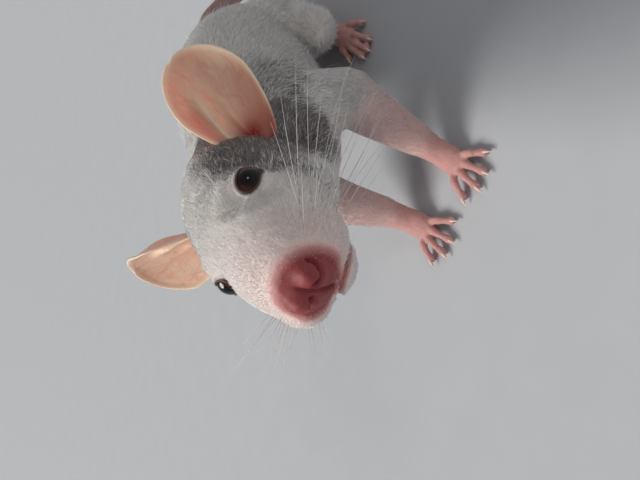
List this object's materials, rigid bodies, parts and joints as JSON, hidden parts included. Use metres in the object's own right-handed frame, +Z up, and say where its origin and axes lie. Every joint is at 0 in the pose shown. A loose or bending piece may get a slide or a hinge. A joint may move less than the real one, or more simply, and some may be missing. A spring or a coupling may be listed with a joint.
{
  "type": "dumbo rat",
  "caption": "Life-size still model of a young dumbo rat, white with a grey hood, standing alert with its nose lifted and its tail laid beside it.",
  "frame": {"origin": "middle of the footprint's box, on the floor under the rat", "axes": "+Z up, -Y where the rat looks, +X to the rat's left"},
  "size_m": [0.1006, 0.191, 0.0848],
  "materials": {
    "white_coat": "short soft fur, off white",
    "grey_coat": "short soft fur, brownish grey",
    "ear_skin": "thin bare skin, peach, light passes through it",
    "paw_skin": "pink skin with fine white hair",
    "tail_skin": "brownish pink, finely ringed with scales",
    "eye": "black with a ruby tint, wet gloss"
  },
  "bodies": {
    "root": {"head": "white_coat", "neck": "grey_coat", "torso": "white_coat", "fore_leg_left": "white_coat", "fore_leg_right": "white_coat", "hind_leg_left": "white_coat", "hind_leg_right": "white_coat", "fore_paw_left": "paw_skin", "fore_paw_right": "paw_skin", "hind_foot_left": "paw_skin", "hind_foot_right": "paw_skin", "ear_left": "ear_skin", "ear_right": "ear_skin", "eye_left": "eye", "eye_right": "eye", "tail_base": "tail_skin", "tail_middle": "tail_skin", "tail_tip": "tail_skin"}
  },
  "joints": []
}
